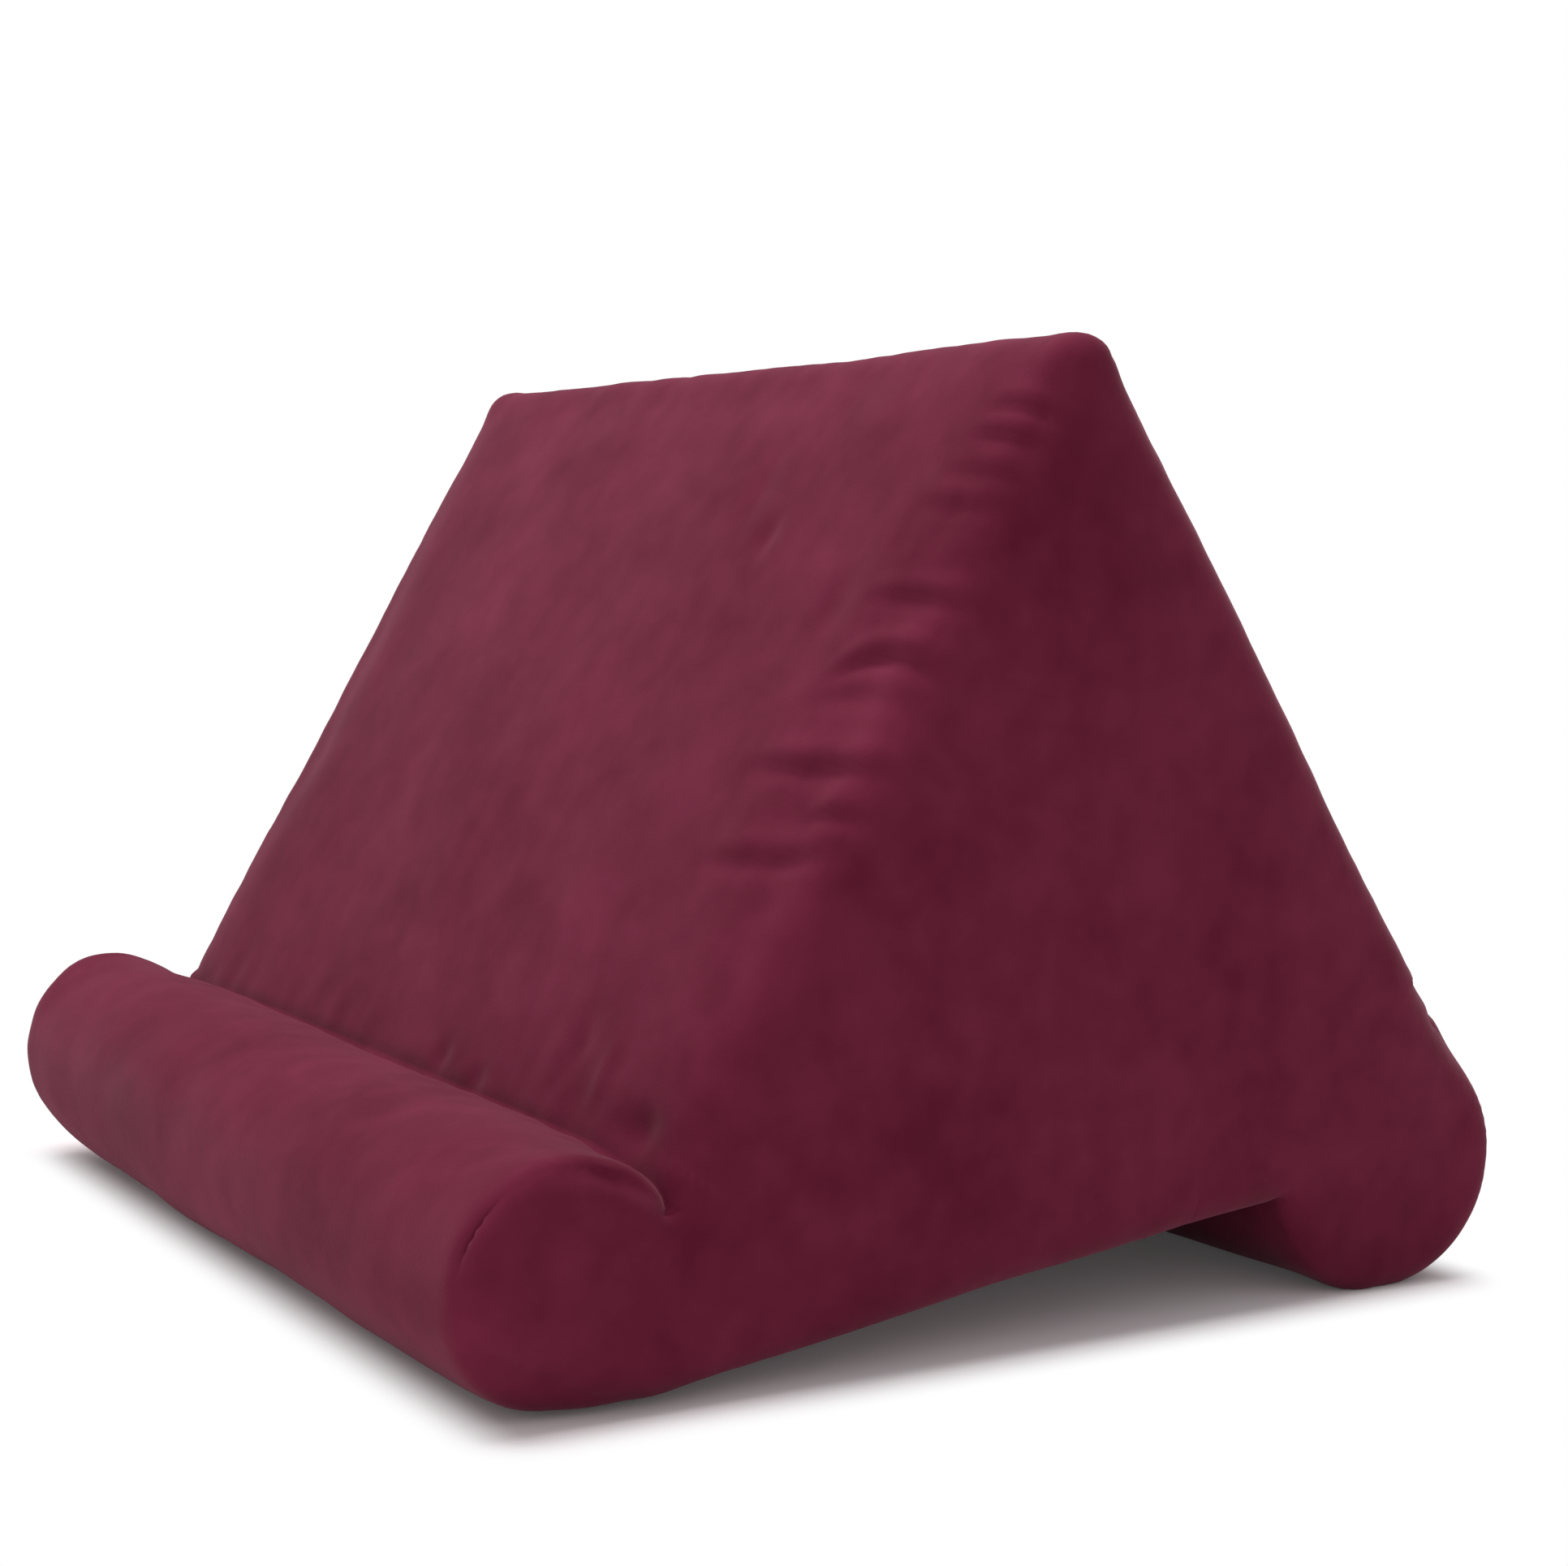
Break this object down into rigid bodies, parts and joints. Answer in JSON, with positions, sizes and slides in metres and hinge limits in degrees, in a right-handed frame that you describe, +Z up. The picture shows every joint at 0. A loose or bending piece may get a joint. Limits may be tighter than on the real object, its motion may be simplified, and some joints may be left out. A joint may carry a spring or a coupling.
{
  "type": "tablet cushion stand",
  "caption": "Wedge-shaped velvet cushion that props a tablet on its sloping face, with a ledge roll in front, a foot roll behind and a zip in its underside.",
  "frame": {"origin": "on the table, under the middle of the cushion's box", "axes": "+X along the ledge roll, +Y from the ledge to the foot roll, +Z up"},
  "size_m": [0.27, 0.265, 0.206],
  "materials": {
    "pile": "deep burgundy short-pile velvet with a soft sheen",
    "lining": "plain woven lining",
    "foam": "open-cell foam, off-white",
    "batting": "loose white fibre",
    "thread": "polyester sewing thread",
    "zip_tape": "fine woven tape",
    "zip_coil": "dyed nylon coil",
    "zip_metal": "dark nickel plate"
  },
  "bodies": {
    "cushion": {"front_panel": "pile", "back_panel": "pile", "foot_panel": "pile", "base_panel": "pile", "ledge_panel": "pile", "left_side_panel": "pile", "right_side_panel": "pile", "ledge_divider": "lining", "foot_divider": "lining", "wedge_foam": "foam", "wedge_wadding": "batting", "ledge_filling": "batting", "foot_filling": "batting", "left_seam_thread": "thread", "right_seam_thread": "thread", "trough_seam_thread": "thread", "top_seam_thread": "thread", "heel_seam_thread": "thread", "arch_seam_thread": "thread", "zip_stitch_front": "thread", "zip_stitch_rear": "thread", "zip_tape_front": "zip_tape", "zip_tape_rear": "zip_tape", "zip_coil_front": "zip_coil", "zip_coil_rear": "zip_coil", "zip_bottom_stop": "zip_metal", "zip_top_stop_front": "zip_metal", "zip_top_stop_rear": "zip_metal"},
    "zip_slider": {"zip_slider": "zip_metal"},
    "zip_pull": {"zip_pull": "zip_metal"}
  },
  "joints": [
    {"name": "zip_travel", "type": "slide", "parent": "cushion", "child": "zip_slider", "axis": [1, 0, 0], "range_m": [0, 0.2188]},
    {"name": "pull_swing", "type": "hinge", "parent": "zip_slider", "child": "zip_pull", "pos_m": [-0.1094, 0.04221, 0.01815], "axis": [0, 0.9903, 0.1391], "range_deg": [-85, 85]}
  ]
}
